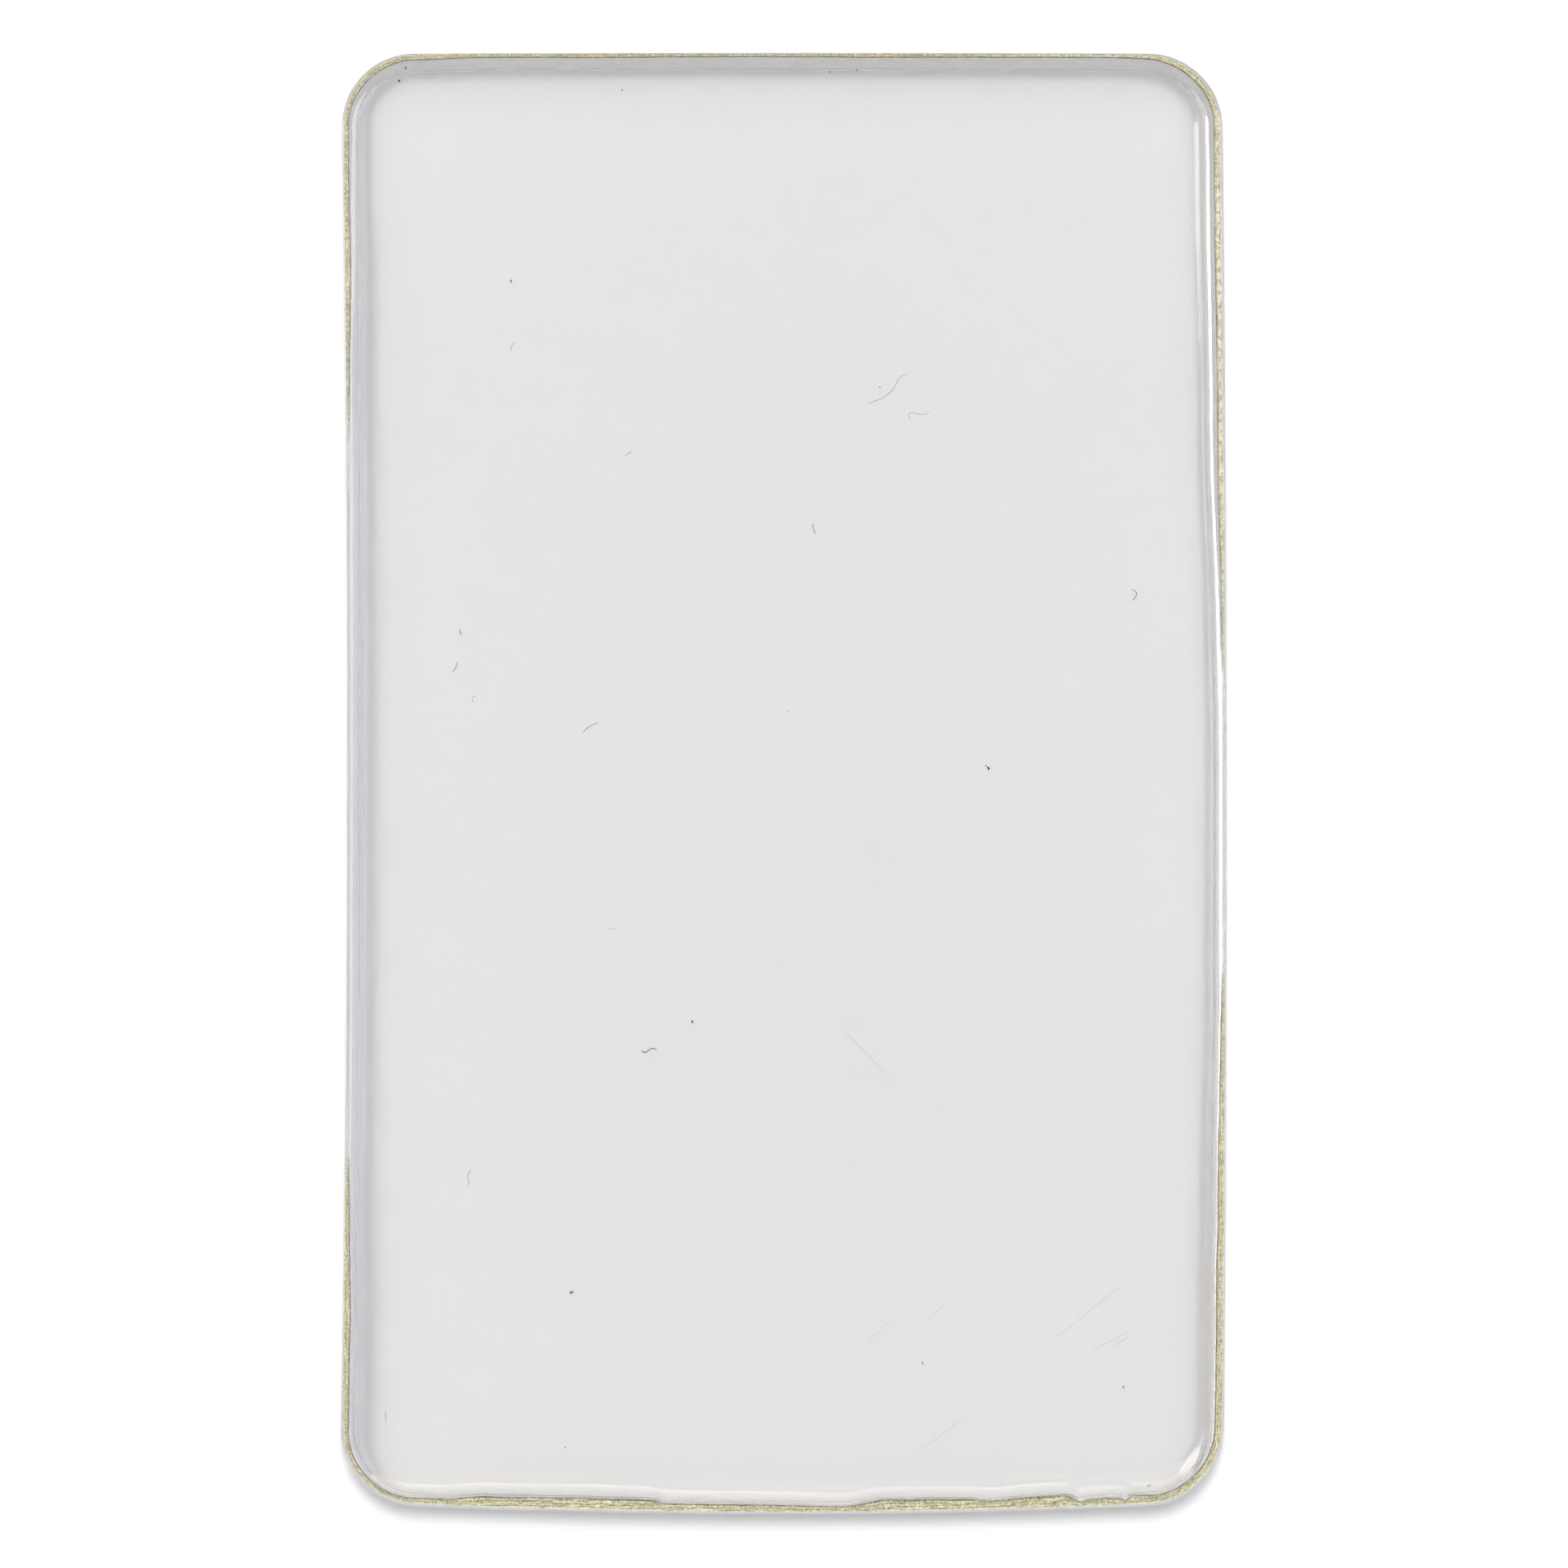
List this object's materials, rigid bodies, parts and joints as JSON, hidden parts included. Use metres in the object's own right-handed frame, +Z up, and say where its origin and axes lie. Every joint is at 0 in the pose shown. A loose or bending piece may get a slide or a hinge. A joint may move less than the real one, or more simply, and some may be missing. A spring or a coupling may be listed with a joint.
{
  "type": "gel printing plate",
  "caption": "Clear soft gel slab with round corners and a thin raised lip around its level face, for printing or mixing paint, lying on a thin clear carrier film.",
  "frame": {"origin": "on the surface that the carrier film lies on, under the middle of the plate's outline", "axes": "+Y along the plate's long side, +X along its short side, +Z up out of the poured face"},
  "size_m": [0.0768, 0.127, 0.0096],
  "materials": {
    "clear_gel": "clear, glossy and tacky, as cast",
    "clear_film": "clear, smooth sheet"
  },
  "bodies": {
    "film": {"carrier_film": "clear_film"},
    "slab": {"gel_slab": "clear_gel"}
  },
  "joints": [
    {"name": "slab_lift", "type": "slide", "parent": "film", "child": "slab", "axis": [0, 0, 1], "range_m": [0, 0.05]}
  ]
}
